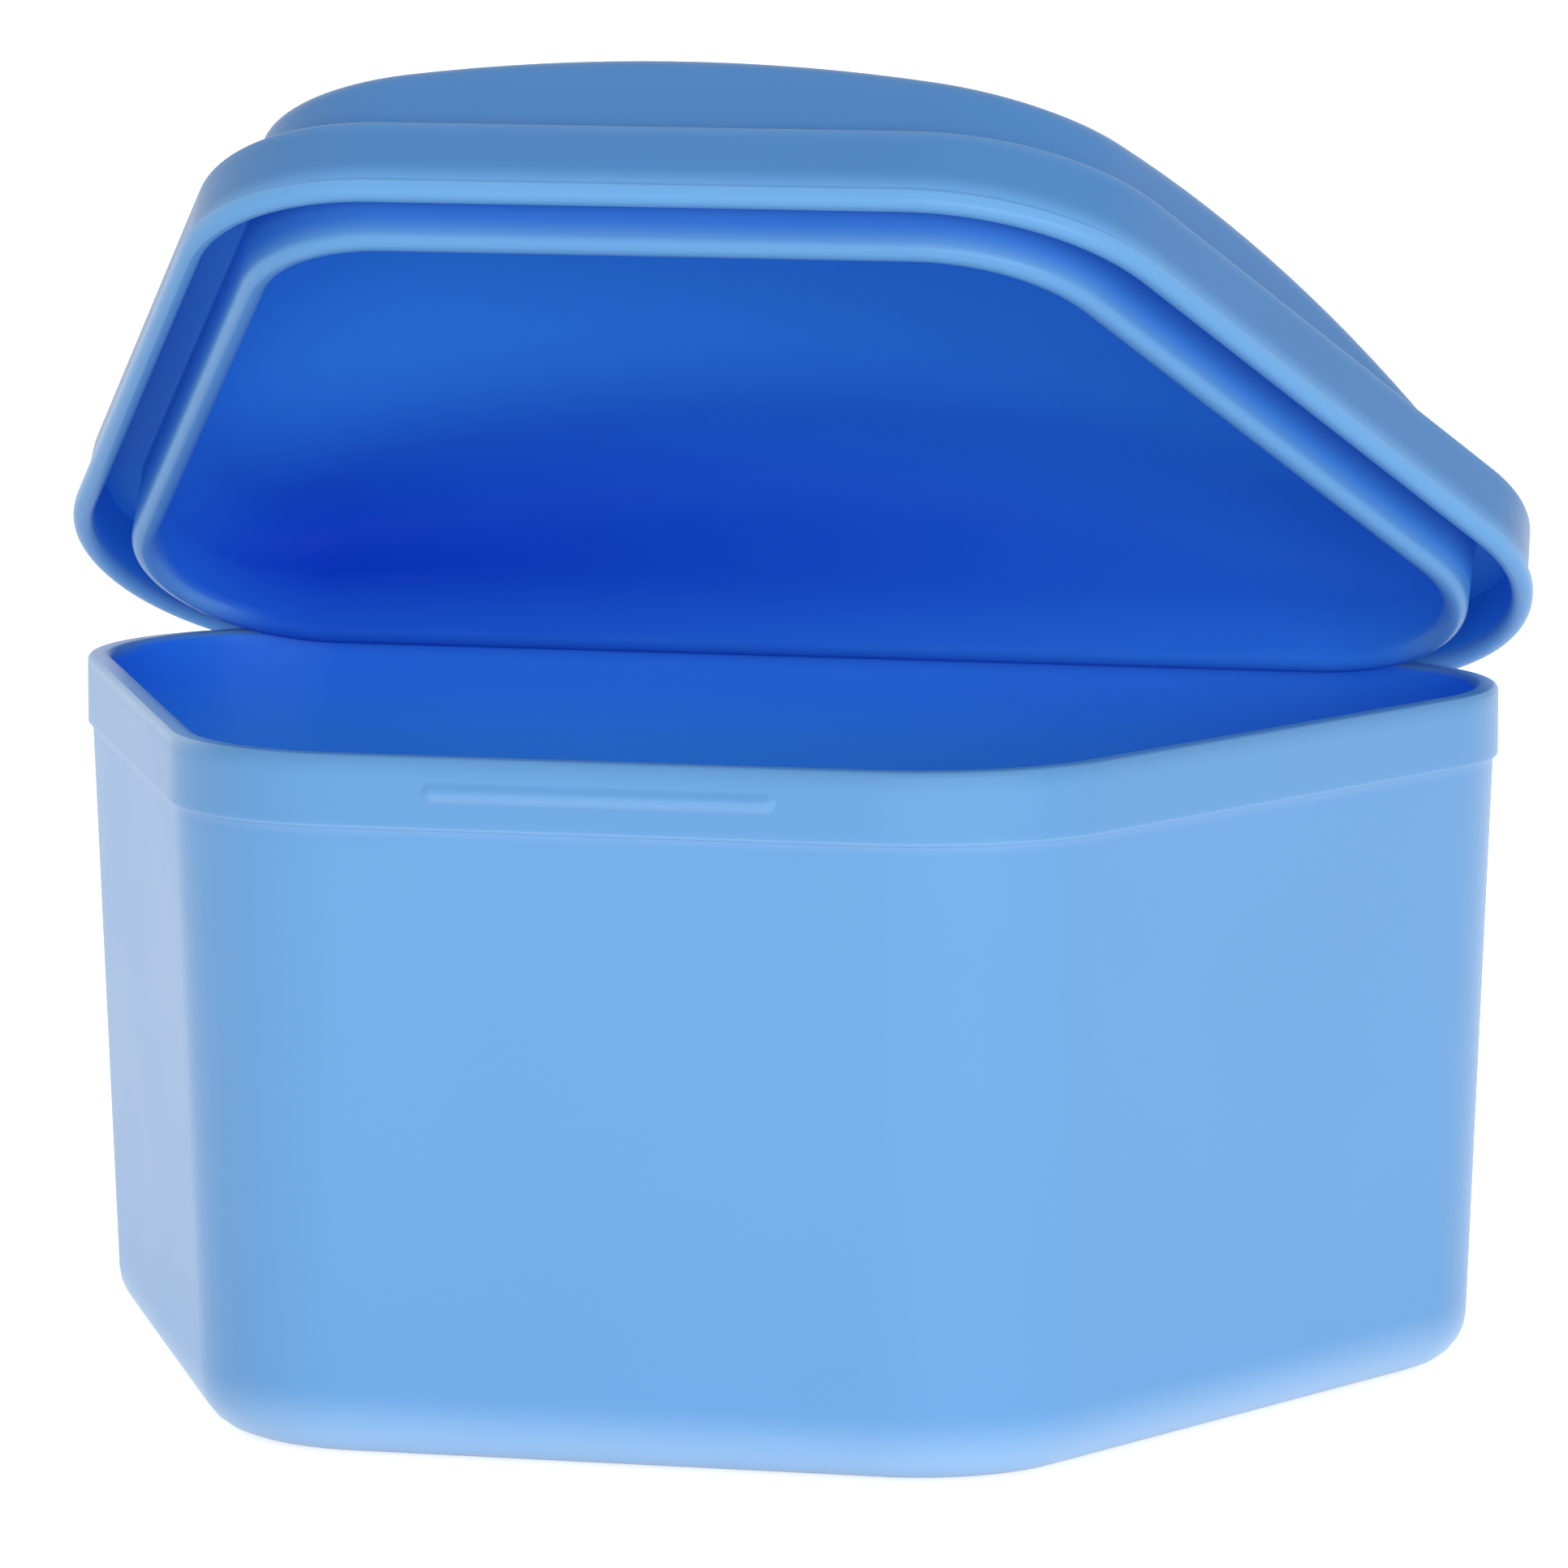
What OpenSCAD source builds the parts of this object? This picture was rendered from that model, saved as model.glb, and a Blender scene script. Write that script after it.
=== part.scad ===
// Denture case: a deep tub with a domed lid that swings on a pin behind the back wall.
// Seen from above it is a trapezium with four round corners, narrow at the front.
// Origin: centre of the flat bottom of the tub. X to the right, front towards -Y, Z up.

/* [Plan of the rim] */
// Depth of the tub from its front face to its back face
tub_depth = 60; // [54:0.5:70]
// Straight part of the front face
front_flat_w = 32.56; // [28:0.02:38]
// Straight part of the back face
back_flat_w = 65; // [58:0.02:72]
// Radius of the two front corners
front_corner_r = 13.85; // [11:0.05:16]
// Radius of the two back corners
back_corner_r = 13.15; // [11:0.05:16]

/* [Tub] */
// Height of the tub
tub_h = 42.9; // [36:0.1:52]
// Thickness of the tub wall
tub_wall = 1.5; // [1.2:0.1:2]
// Thickness of the tub floor
floor_t = 1.6; // [1.2:0.1:2.4]
// Height of the raised band that the lid closes over
band_h = 4.4; // [3.8:0.1:5]
// How far the band stands out from the wall below it
band_step = 0.3; // [0.2:0.05:0.5]
// Slope of the wall below the band, in degrees
tub_draft = 2.2; // [1:0.1:3]
// Rounding of the outer bottom edge
bottom_r = 3.1; // [2.4:0.1:4]
// Rounding of both edges of the rim
rim_r = 0.4; // [0.2:0.05:0.55]

/* [Latch bead] */
// Length of the bead on the front of the band
bead_w = 21.6; // [12:0.1:28]
// Height of the bead
bead_h = 1.3; // [0.9:0.05:1.8]
// How far the bead stands out from the band
bead_out = 0.28; // [0.15:0.01:0.32]
// Height from the rim down to the middle of the bead
bead_drop = 2.1; // [1.6:0.1:2.8]

/* [Lid] */
// Angle at which the lid stands open, in degrees
lid_open = 33.2; // [0:0.1:180]
// Gap between the band and the skirt of the lid
skirt_gap = 0.4; // [0.35:0.05:0.6]
// Gap between the rim and the roof of its groove
rim_gap = 0.2; // [0.15:0.05:0.4]
// Gap between the mouth of the lid and the lower edge of the band
mouth_gap = 0.35; // [0.2:0.05:0.6]
// Thickness of the skirt beside the ledge
skirt_t = 0.75; // [0.7:0.05:1]
// Extra thickness that the skirt gains on its way down to the lip
skirt_flare = 0.2; // [0:0.05:0.3]
// Thickness of the lip round the mouth
lip_t = 1.36; // [1.2:0.02:1.5]
// Height of the lip
lip_h = 1.4; // [1.2:0.1:1.8]
// Thickness of the plate over the rim, which forms the ledge outside
ledge_t = 1.2; // [0.9:0.1:1.6]
// Rounding of the outer edge of the ledge
ledge_r = 0.35; // [0.2:0.05:0.5]
// Gap between the inside of the tub wall and the inner rib
rib_gap = 0.7; // [0.5:0.1:1]
// Thickness of the inner rib
rib_t = 1.6; // [1.2:0.1:1.8]
// How far the rib reaches below the mouth of the lid
rib_drop = 1.1; // [0.5:0.1:1.6]

/* [Dome] */
// Distance from the band face in to the foot of the dome
dome_inset = 2; // [1.8:0.1:2.1]
// Height of the top of the dome above the ledge
dome_rise = 10.65; // [9.8:0.05:14]
// Radius of the crown of the dome
crown_r = 116; // [112:1:150]
// Distance from the middle of the tub back to the top of the crown
crown_back = 2.9; // [0:0.1:4]
// Thickness of the crown
crown_t = 1.5; // [1.2:0.1:1.6]
// Slope of the wall of the dome, in degrees
dome_draft = 2; // [1:0.1:4]

/* [Hinge] */
// Distance from the back face of the tub back to the axis of the pin
hinge_back = 4.6; // [4.6:0.1:5.5]
// Height from the rim down to the axis of the pin
hinge_drop = 2.4; // [2.2:0.1:2.7]
// Radius of the pin
pin_r = 1; // [0.8:0.05:1.2]
// Radius of the knuckles
knuckle_r = 2.2; // [2:0.05:2.4]
// Length of the knuckle on the lid
lid_knuckle_w = 30; // [20:0.5:36]
// Length of each knuckle on the tub
tub_knuckle_w = 5; // [4:0.1:7]
// Gap between neighbouring knuckles
knuckle_gap = 0.3; // [0.2:0.05:0.5]
// Clearance round the pin in the tub's knuckles
pin_fit = 0.02; // [0.01:0.01:0.03]
// Clearance round the pin in the lid's knuckle
pin_play = 0.05; // [0.04:0.01:0.08]
// How far each end of the pin sits inside its knuckle
pin_inset = 0.2; // [0.1:0.1:0.5]
// Height of the brackets under the tub's knuckles, down from the pin
bracket_h = 9; // [7:0.5:12]

/* [Hidden] */
$fn = 96;

// Centres of the four corner arcs, anticlockwise from the front right, and their radii
front_y = front_corner_r - tub_depth / 2;
back_y = tub_depth / 2 - back_corner_r;
CENTRE = [
    [front_flat_w / 2, front_y],
    [back_flat_w / 2, back_y],
    [-back_flat_w / 2, back_y],
    [-front_flat_w / 2, front_y]
];
RADIUS = [front_corner_r, back_corner_r, back_corner_r, front_corner_r];
// Each side wall touches a front arc and a back arc, which sets its angle in plan
side_dx = (back_flat_w - front_flat_w) / 2;
side_dy = back_y - front_y;
centre_gap = norm([side_dx, side_dy]);
side_angle = acos((front_corner_r - back_corner_r) / centre_gap) - atan2(side_dy, side_dx);
side_length = sqrt(pow(centre_gap, 2) - pow(front_corner_r - back_corner_r, 2));
// Direction that each wall faces: right side, back, left side, front
FACING = [-side_angle, 90, 180 + side_angle, 270];

// Levels and offsets of the tub. Offsets are measured outwards from the band face.
band_z = tub_h - band_h;
foot_offset = -band_step - band_z * tan(tub_draft);
inner_foot_offset = foot_offset - tub_wall;
inner_bottom_r = bottom_r - tub_wall;

// Levels and offsets of the lid, drawn shut
mouth_z = band_z + mouth_gap;
groove_z = tub_h + rim_gap;
ledge_z = groove_z + ledge_t;
skirt_in = skirt_gap;
skirt_out = skirt_in + skirt_t;
lip_out = skirt_in + lip_t;
lip_r = lip_t / 2;
rib_out = -tub_wall - rib_gap;
rib_in = rib_out - rib_t;
rib_z = mouth_z - rib_drop;
crown_z = ledge_z + dome_rise;
crown_centre_z = crown_z - crown_r;

// Axis of the hinge
hinge_y = tub_depth / 2 + hinge_back;
hinge_z = tub_h - hinge_drop;
bracket_x = lid_knuckle_w / 2 + knuckle_gap;
pin_half = bracket_x + tub_knuckle_w - pin_inset;
// Slot for the lip between the brackets' knuckles and the tub wall
bracket_clear = knuckle_gap;
bracket_z = mouth_z - bracket_clear;
// Depth by which joined shapes run into each other
bite = 0.6;
// Overlap of the straight and the round runs of the outline where they meet
seam = 0.0002;
// Offset at which a swept edge hands over to the flat core inside it
core_offset = -9;
// Length that is more than the whole case
reach = 2 * tub_depth;

TUB_COLOR = [0.46, 0.67, 0.91];
LID_COLOR = [0.36, 0.57, 0.83];
PIN_COLOR = [0.42, 0.63, 0.88];

// Direction in plan at a given angle
function heading(angle) = [cos(angle), sin(angle)];

// Points along an arc of a profile, from one angle to another
function arc(centre, radius, from, to, steps) = [
    for (k = [0:steps])
        centre + radius * heading(from + (to - from) * k / steps)
];

// Area inside the outline, moved outwards by an offset
module plan(offset) {
    polygon([
        for (i = [0:3])
            for (angle = [FACING[(i + 3) % 4], FACING[i]])
                CENTRE[i] + (RADIUS[i] + offset) * heading(angle)
    ]);
    for (i = [0:3])
        translate(CENTRE[i])
            circle(RADIUS[i] + offset);
}

// Straight run of a profile, drawn as (offset, height), along a wall of the outline
module run(radius, length) {
    translate([radius, length, 0])
        rotate([90, 0, 0])
            linear_extrude(length)
                children();
}

// Round corner of a profile between two walls, where turn is the angle between them.
// It runs on into both walls by the seam, so that the three join without a crack.
module corner(radius, turn) {
    intersection() {
        rotate([0, 0, 180])
            rotate_extrude()
                translate([radius, 0])
                    children();
        translate([-reach, -seam, -reach])
            cube([2 * reach, reach, 2 * reach]);
        rotate([0, 0, turn])
            translate([-reach, seam - reach, -reach])
                cube([2 * reach, reach, 2 * reach]);
    }
}

// Right half of the outline, where each piece starts in the frame of the one before
module half_way_round() {
    translate([front_flat_w / 2, front_y, 0]) {
        rotate([0, 0, -90]) {
            translate([0, -front_flat_w / 2, 0])
                run(front_corner_r, front_flat_w / 2)
                    children();
            corner(front_corner_r, 90 - side_angle)
                children();
        }
        rotate([0, 0, -side_angle]) {
            run(front_corner_r, side_length)
                children();
            translate([front_corner_r - back_corner_r, side_length, 0]) {
                corner(back_corner_r, 90 + side_angle)
                    children();
                rotate([0, 0, 90 + side_angle])
                    run(back_corner_r, back_flat_w / 2 + bite)
                        children();
            }
        }
    }
}

// Carries a profile, drawn as (offset, height), round the whole outline
module around() {
    for (side = [0, 1])
        mirror([side, 0, 0])
            intersection() {
                half_way_round()
                    children();
                translate([0, -reach, -reach])
                    cube(2 * reach);
            }
}

// Solid block whose sides lean from one offset at its foot to another at its top
module block(low_z, low_offset, high_z, high_offset) {
    around()
        polygon([
            [core_offset, low_z],
            [low_offset, low_z],
            [high_offset, high_z],
            [core_offset, high_z]
        ]);
    translate([0, 0, low_z])
        linear_extrude(high_z - low_z)
            plan(core_offset + bite);
}

// Section of the tub wall with the rounded rim, the band and the round bottom edge
module tub_section() {
    // The outer bottom rounding touches the wall and the floor, and the inner one follows it
    edge_x = foot_offset - bottom_r * (1 - sin(tub_draft)) / cos(tub_draft);
    inner_edge = [inner_foot_offset - inner_bottom_r, floor_t + inner_bottom_r];
    polygon(concat(
        [[core_offset, 0]],
        arc([edge_x, bottom_r], bottom_r, -90, -tub_draft, 6),
        [[-band_step, band_z], [0, band_z]],
        arc([-rim_r, tub_h - rim_r], rim_r, 0, 90, 3),
        arc([rim_r - tub_wall, tub_h - rim_r], rim_r, 90, 180, 3),
        arc(inner_edge, inner_bottom_r, 0, -90, 4),
        [[core_offset, floor_t]]
    ));
}

module tub() {
    color(TUB_COLOR)
        difference() {
            union() {
                around()
                    tub_section();
                linear_extrude(floor_t)
                    plan(core_offset + bite);
                latch_bead();
                for (side = [-1, 1])
                    tub_bracket(side);
            }
            translate([0, hinge_y, hinge_z])
                rotate([0, 90, 0])
                    cylinder(r = pin_r + pin_fit, h = 4 * pin_half, center = true);
        }
}

// Low ridge with round ends on the front of the band, which clicks under the skirt
module latch_bead() {
    bead_z = tub_h - bead_drop;
    bead_x = (bead_w - bead_h) / 2;
    translate([0, -tub_depth / 2, bead_z])
        rotate([90, 0, 0])
            translate([0, 0, -bite])
                linear_extrude(bite + bead_out)
                    union() {
                        square([2 * bead_x, bead_h], center = true);
                        for (side = [-1, 1])
                            translate([side * bead_x, 0])
                                circle(bead_h / 2);
                    }
}

// Knuckle of the tub on a three-sided bracket that grows out of the back wall
module tub_bracket(side) {
    wall_y = tub_depth / 2 - bite - band_step;
    low_z = hinge_z - bracket_h;
    translate([side * (bracket_x + tub_knuckle_w / 2) - tub_knuckle_w / 2, 0, 0])
        rotate([90, 0, 90])
            linear_extrude(tub_knuckle_w)
                union() {
                    translate([hinge_y, hinge_z])
                        circle(knuckle_r);
                    polygon([
                        [wall_y, bracket_z],
                        [hinge_y - knuckle_r * cos(10), bracket_z],
                        [hinge_y - knuckle_r * cos(10), hinge_z - knuckle_r * sin(10)],
                        [hinge_y, hinge_z],
                        [hinge_y + knuckle_r * cos(30), hinge_z - knuckle_r * sin(30)],
                        [wall_y, low_z]
                    ]);
                }
}

// Section of the lid's edge: skirt with its lip, ledge, groove for the rim and inner rib
module lid_section() {
    polygon(concat(
        arc([skirt_in + lip_r, mouth_z + lip_r], lip_r, 180, 360, 6),
        [
            [lip_out, mouth_z + lip_h - lip_r / 2],
            [skirt_out + skirt_flare, mouth_z + lip_h]
        ],
        arc([skirt_out - ledge_r, ledge_z - ledge_r], ledge_r, 0, 90, 3),
        [[rib_in, ledge_z]],
        arc([rib_in + rib_t / 2, rib_z + rib_t / 2], rib_t / 2, 180, 360, 6),
        [[rib_out, groove_z], [skirt_in, groove_z]]
    ));
}

// Dome: a leaning wall on the outline, closed by a shallow ball-shaped crown
module dome(wall_offset, crown, low_z) {
    high_z = crown_z + bite;
    intersection() {
        block(low_z, wall_offset, high_z, wall_offset - (high_z - low_z) * tan(dome_draft));
        translate([0, crown_back, crown_centre_z])
            sphere(crown, $fn = 360);
    }
}

module lid_shut() {
    around()
        lid_section();
    difference() {
        dome(-dome_inset, crown_r, groove_z + ledge_t / 2);
        dome(rib_in, crown_r - crown_t, groove_z + ledge_t / 2);
    }
}

// Knuckle of the lid on a web that leaves the back of the skirt
module lid_knuckle() {
    web_y = tub_depth / 2 + skirt_out - bite / 2;
    translate([-lid_knuckle_w / 2, 0, 0])
        rotate([90, 0, 90])
            linear_extrude(lid_knuckle_w)
                union() {
                    translate([hinge_y, hinge_z])
                        circle(knuckle_r);
                    polygon([
                        [web_y, mouth_z + lip_r],
                        [hinge_y, hinge_z - knuckle_r * sin(50)],
                        [hinge_y, hinge_z + knuckle_r * sin(60)],
                        [web_y, hinge_z + knuckle_r * sin(60)]
                    ]);
                }
}

module lid() {
    color(LID_COLOR)
        translate([0, hinge_y, hinge_z])
            rotate([-lid_open, 0, 0])
                translate([0, -hinge_y, -hinge_z])
                    difference() {
                        union() {
                            lid_shut();
                            lid_knuckle();
                        }
                        translate([0, hinge_y, hinge_z])
                            rotate([0, 90, 0])
                                cylinder(r = pin_r + pin_play, h = 2 * lid_knuckle_w, center = true);
                    }
}

module hinge_pin() {
    color(PIN_COLOR)
        translate([0, hinge_y, hinge_z])
            rotate([0, 90, 0])
                cylinder(r = pin_r, h = 2 * pin_half, center = true);
}

tub();
lid();
hinge_pin();
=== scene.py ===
"""Denture case: a deep tub with a domed lid on a hinge pin, dressed over its CAD frame.

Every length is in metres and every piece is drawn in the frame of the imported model.
The lid is drawn shut and then turned about the hinge to the angle at which it rests.
"""

import math

import bmesh
import bpy
from bpy.props import FloatProperty, FloatVectorProperty, PointerProperty
from mathutils import Matrix, Vector


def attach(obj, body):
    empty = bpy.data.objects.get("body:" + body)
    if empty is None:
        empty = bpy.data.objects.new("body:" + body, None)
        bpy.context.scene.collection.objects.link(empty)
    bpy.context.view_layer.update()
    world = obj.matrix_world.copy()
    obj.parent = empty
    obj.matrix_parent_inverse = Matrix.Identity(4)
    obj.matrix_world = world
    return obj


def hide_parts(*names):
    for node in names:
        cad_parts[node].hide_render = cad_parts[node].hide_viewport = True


bl_info = {
    "name": "Denture case",
    "version": (1, 0, 0),
    "blender": (4, 5, 0),
    "location": "3D View > Sidebar > Denture Case",
    "description": "Builds the tub, the domed lid and the hinge of a denture case",
    "category": "Add Mesh",
}

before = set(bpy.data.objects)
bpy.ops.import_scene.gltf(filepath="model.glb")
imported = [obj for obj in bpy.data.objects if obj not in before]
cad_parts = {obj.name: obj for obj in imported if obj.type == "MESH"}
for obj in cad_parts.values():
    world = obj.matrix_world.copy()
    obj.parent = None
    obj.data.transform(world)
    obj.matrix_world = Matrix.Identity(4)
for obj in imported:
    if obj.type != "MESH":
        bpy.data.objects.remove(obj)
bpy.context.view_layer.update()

# Angle between neighbouring samples on a round corner of the outline
CORNER_STEP = math.radians(3)
# Samples along each straight wall of the outline
WALL_STEPS = 16
# Directions closer than this are one straight wall
SAME_HEADING = 1e-6
# Fewest steps round an edge of a section, and the widest angle of one
EDGE_STEPS = 3
EDGE_STEP = math.radians(15)
# Half the angle of a corner that is too flat to be rounded
FLAT_CORNER = math.radians(89)
# Radius that rounds an edge fully, as a share of its thickness, a hair under half
FULL_ROUND = 0.4995
# Longest step along a section whose painted light and shade change
FINE_STEP = 0.0005
# Steps over the soft corner of the crown, and rounds in which its place is found
BEND_STEPS = 8
BEND_ROUNDS = 12
# Largest share of the wall under the crown that its soft corner takes
BEND_SHARE = 0.6
# Rings between the edge of a floor or crown and its middle
CORE_RINGS = 20
# Rows up the flank of the latch bead and steps round each of its ends
BEAD_ROWS = 9
BEAD_STEPS = 24
# Samples round a full circle on the hinge
ROUND_STEPS = 64
# Points closer than this are made one, and edges above this angle are drawn sharp
MERGE_GAP = 1e-7
SHARP_ANGLE = math.radians(40)

# Lengths that join the forms, in metres
# Band face in to the first ring of the tub's floor
FLOOR_EDGE = 0.009
# How deep a form is sunk into the one that it stands on
SINK = 0.0003
# Height over the rib's end that the soft corner of the ceiling leaves free
RIB_ROOT = 0.002
# Height of the wall of the dome that is drawn with the ledge
DOME_START = 0.002
# Rounding of the neck under the tub's knuckles
NECK_ROUND = 0.0003
# Arcs of the knuckles: where they start and end, and the number of steps
TUB_KNUCKLE_ARC = (math.radians(190), math.radians(-30), 40)
LID_KNUCKLE_ARC = (math.radians(120), math.radians(-142), 48)
# Length of each end of the pin, and its rounding and flat as shares of its radius
PIN_END = 0.002
PIN_ROUND = 0.35
PIN_FLAT = 0.2

# Masks of painted light and shade that a shell has from place to place, kept on its
# points from 0 to 1
# inside: painted deep shade; edge: painted shade on the tub's rim, band and bead,
# painted light on the lid's lip and rib; hollow: painted shade at the lid's back,
# painted light low in the tub; glow: painted glow and highlights
MASKS = ("inside", "edge", "hollow", "glow")
# Colours of a moulding that the masks choose from: its outside colour and the colours
# of its painted light and shade
TONES = ("Outside", "Edge", "Inside", "Hollow", "Glow")
# Painted light and shade of whole surfaces, in the order of the masks: none, full
# painted glow, and full painted deep shade with the hollow colour
PLAIN = (0, 0, 0, 0)
GLOWING = (0, 0, 0, 1)
DEEPEST = (1, 1, 1, 0)

# Parts of the outline: an axis of the outward direction, and where on it they start
# and are full
FRONT = ("y", 0.5, -0.5)
LEFT = ("x", -0.5, -0.9)
BACK_HALF = ("y", -0.2, 0.3)
BACK_CORNERS = ("y", -0.3, 0.4)
BACK = ("y", 0.5, 0.95)
GROOVE_FRONT = ("y", 0.3, -0.95)

# Reach of each mark of painted light and shade: heights over a level at which it starts
# and is full, in metres
# Painted shade: RIM_TINT and BAND_TINT; painted light: TUB_LOW low in the tub, LIP_TINT
# on the lip, LIP_INSIDE and RIB_WALL on the ends of lip and rib up to where the painted
# deep shade starts; GROOVE_WALL: painted deep shade in the groove; painted glow and
# highlights: RIM_GLOW, FOOT_GLOW, LEDGE_EDGE and DOME_FOOT
RIM_TINT = (-0.0016, -0.0002)
RIM_GLOW = (-0.0006, -0.0002)
BAND_TINT = (0, 0.0005)
FOOT_GLOW = (0.0045, 0)
TUB_LOW = (-0.001, -0.011)
LIP_TINT = (0.0026, 0.0009)
LIP_INSIDE = (0.0003, 0.0012)
GROOVE_WALL = (0.0004, 0.002)
RIB_WALL = (0.0003, 0.0024)
LEDGE_EDGE = (-0.0006, -0.0002)
DOME_FOOT = (0.0014, 0.0002)
# Depths under the rim between which the tub's painted deep shade grows, and how much
# more at its front
TUB_DEEP = (0.00005, 0.0004)
FRONT_DELAY = (0.0005, 0.0003)
# How much lower the painted light on the rib's wall reaches at the back corners
CORNER_LOSS = 0.0014
# Distances to the back between which the inside of the lid gets its painted shade, and
# their slant to the left
DARK_BACK = (0.011, 0.033)
DARK_SLANT = 0.1

# Strengths of the painted light and shade: painted shade from BAND_SHADE, BEAD_SHADE,
# GROOVE_DEEP and GROOVE_DARK, less painted shade low on the rib from RIB_LESS_DARK, and
# painted highlights and glow from BAND_LINE, RIM_LIGHT, BEAD_GLOW, LEDGE_LINE and
# DOME_LINE
BAND_SHADE = 0.3
BAND_LINE = 0.25
RIM_LIGHT = 0.6
BEAD_SHADE = 0.6
BEAD_GLOW = 0.22
GROOVE_DEEP = 0.8
GROOVE_DARK = 0.4
RIB_LESS_DARK = 0.25
LEDGE_LINE = 0.08
DOME_LINE = 0.4

# Refractive index of polypropylene, and how strongly and how deep its skin shows
PLASTIC_IOR = 1.49
SKIN_STRENGTH = 0.2
SKIN_DEPTH = 0.00001
# How fine the clouds of colour are on the mouldings and on the pin
CLOUD_SCALE = 50
PIN_CLOUD_SCALE = 200

# Half the side of the floor, how far it lies under the case and how dull it is
FLOOR_HALF = 3
FLOOR_DROP = 0.0001
FLOOR_ROUGHNESS = 0.9
# Where the camera stands, how far it looks down and how far it turns to the left
CAMERA_PLACE = (0.14388, -0.57810, 0.12015)
CAMERA_DOWN = 0.1376367
CAMERA_TURN = 0.2373306
# Width of the camera's sensor in millimetres, and how far it sees in metres
SENSOR_WIDTH = 36
SIGHT = 100
# Place of the lamp, its width and height, its power and what it is aimed at
LAMP_PLACE = (0.7, -1.3, 0.19)
LAMP_SIZE = (2.2, 0.35)
LAMP_POWER = 10.8
LAMP_TARGET = (0, 0, 0.04)


def length(name, description, default):
    """Property for a length in metres."""
    return FloatProperty(
        name=name,
        description=description,
        default=default,
        min=0,
        precision=5,
        unit="LENGTH",
    )


def angle(name, description, degrees):
    """Property for an angle, whose default is given in degrees."""
    return FloatProperty(
        name=name,
        description=description,
        default=math.radians(degrees),
        subtype="ANGLE",
    )


def share(name, description, default):
    """Property for a number from 0 to 1."""
    return FloatProperty(
        name=name, description=description, default=default, min=0, max=1
    )


def colour(name, description, default):
    """Property for a scene-linear colour."""
    return FloatVectorProperty(
        name=name,
        description=description,
        default=default,
        min=0,
        max=1,
        size=3,
        subtype="COLOR",
    )


class CasePlanSizes(bpy.types.PropertyGroup):
    """Outline of the rim, seen from above"""

    depth: length("Depth", "Front face to back face of the band", 0.06)
    front_flat: length("Front flat", "Straight part of the front face", 0.03256)
    back_flat: length("Back flat", "Straight part of the back face", 0.065)
    front_corner: length("Front corner", "Radius of the front corners", 0.01385)
    back_corner: length("Back corner", "Radius of the back corners", 0.01315)


class CaseTubSizes(bpy.types.PropertyGroup):
    """Section of the tub and its latch bead"""

    height: length("Height", "Floor to rim", 0.0429)
    wall: length("Wall", "Thickness of the wall", 0.0015)
    floor: length("Floor", "Thickness of the floor", 0.0016)
    band_height: length("Band height", "Height of the band under the rim", 0.0044)
    band_step: length("Band step", "How far the band stands out", 0.0003)
    draft: angle("Draft", "Slope of the wall below the band", 2.2)
    bottom_round: length("Bottom rounding", "Outer rounding of the bottom", 0.0031)
    rim_round: length("Rim rounding", "Rounding of both rim edges", 0.0004)
    edge_round: length("Edge rounding", "Rounding of the small edges", 0.00013)
    bead_width: length("Bead width", "Length of the latch bead", 0.0216)
    bead_height: length("Bead height", "Height of the latch bead", 0.0013)
    bead_out: length("Bead depth", "How far the latch bead stands out", 0.00028)
    bead_drop: length("Bead drop", "Rim to the middle of the bead", 0.0021)


class CaseLidSizes(bpy.types.PropertyGroup):
    """Section of the lid, drawn shut"""

    opening: angle("Opening", "Angle at which the lid rests open", 33.2)
    skirt_gap: length("Skirt gap", "Gap from the band to the skirt", 0.0004)
    rim_gap: length("Rim gap", "Gap over the rim", 0.0002)
    mouth_gap: length("Mouth gap", "Lower edge of the band to the mouth", 0.00035)
    skirt: length("Skirt", "Thickness of the skirt", 0.00075)
    flare: length("Flare", "Extra thickness above the lip", 0.0002)
    lip: length("Lip", "Thickness of the lip", 0.00136)
    lip_height: length("Lip height", "Height of the lip", 0.0014)
    ledge: length("Ledge", "Thickness over the rim", 0.0012)
    ledge_round: length("Ledge rounding", "Outer edge of the ledge", 0.00035)
    rib_gap: length("Rib gap", "Gap from the tub wall to the rib", 0.0007)
    rib: length("Rib", "Thickness of the inner rib", 0.0016)
    rib_drop: length("Rib drop", "How far the rib reaches below the mouth", 0.0011)
    edge_round: length("Edge rounding", "Rounding of the small edges", 0.0002)
    dome_inset: length("Dome inset", "Band face in to the foot of the dome", 0.002)
    dome_rise: length("Dome rise", "Ledge to the top of the dome", 0.01065)
    dome_draft: angle("Dome draft", "Slope of the wall of the dome", 2)
    crown_radius: length("Crown radius", "Ball radius of the crown", 0.116)
    crown_back: length("Crown back", "How far back the crown peaks", 0.0029)
    crown: length("Crown", "Thickness of the crown", 0.0015)
    crown_round: length("Crown rounding", "Outer edge of the crown", 0.0011)
    ceiling_round: length("Ceiling rounding", "Inner edge of the crown", 0.005)


class CaseHingeSizes(bpy.types.PropertyGroup):
    """Knuckles, brackets and pin behind the back wall"""

    back: length("Back", "Back face to the axis of the pin", 0.0046)
    drop: length("Drop", "Rim to the axis of the pin", 0.0024)
    pin: length("Pin", "Radius of the pin", 0.001)
    knuckle: length("Knuckle", "Radius of the knuckles", 0.0022)
    lid_knuckle: length("Lid knuckle", "Length of the lid's knuckle", 0.03)
    tub_knuckle: length("Tub knuckle", "Length of each tub knuckle", 0.005)
    gap: length("Gap", "Gap between the knuckles", 0.0003)
    fit: length("Fit", "Clearance round the pin in the tub", 0.00002)
    play: length("Play", "Clearance round the pin in the lid", 0.00005)
    inset: length("Inset", "How deep each pin end sits", 0.0002)
    bracket: length("Bracket", "Height of the brackets under the pin", 0.009)
    edge_round: length("Edge rounding", "Rounding of the knuckle edges", 0.00025)


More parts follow.
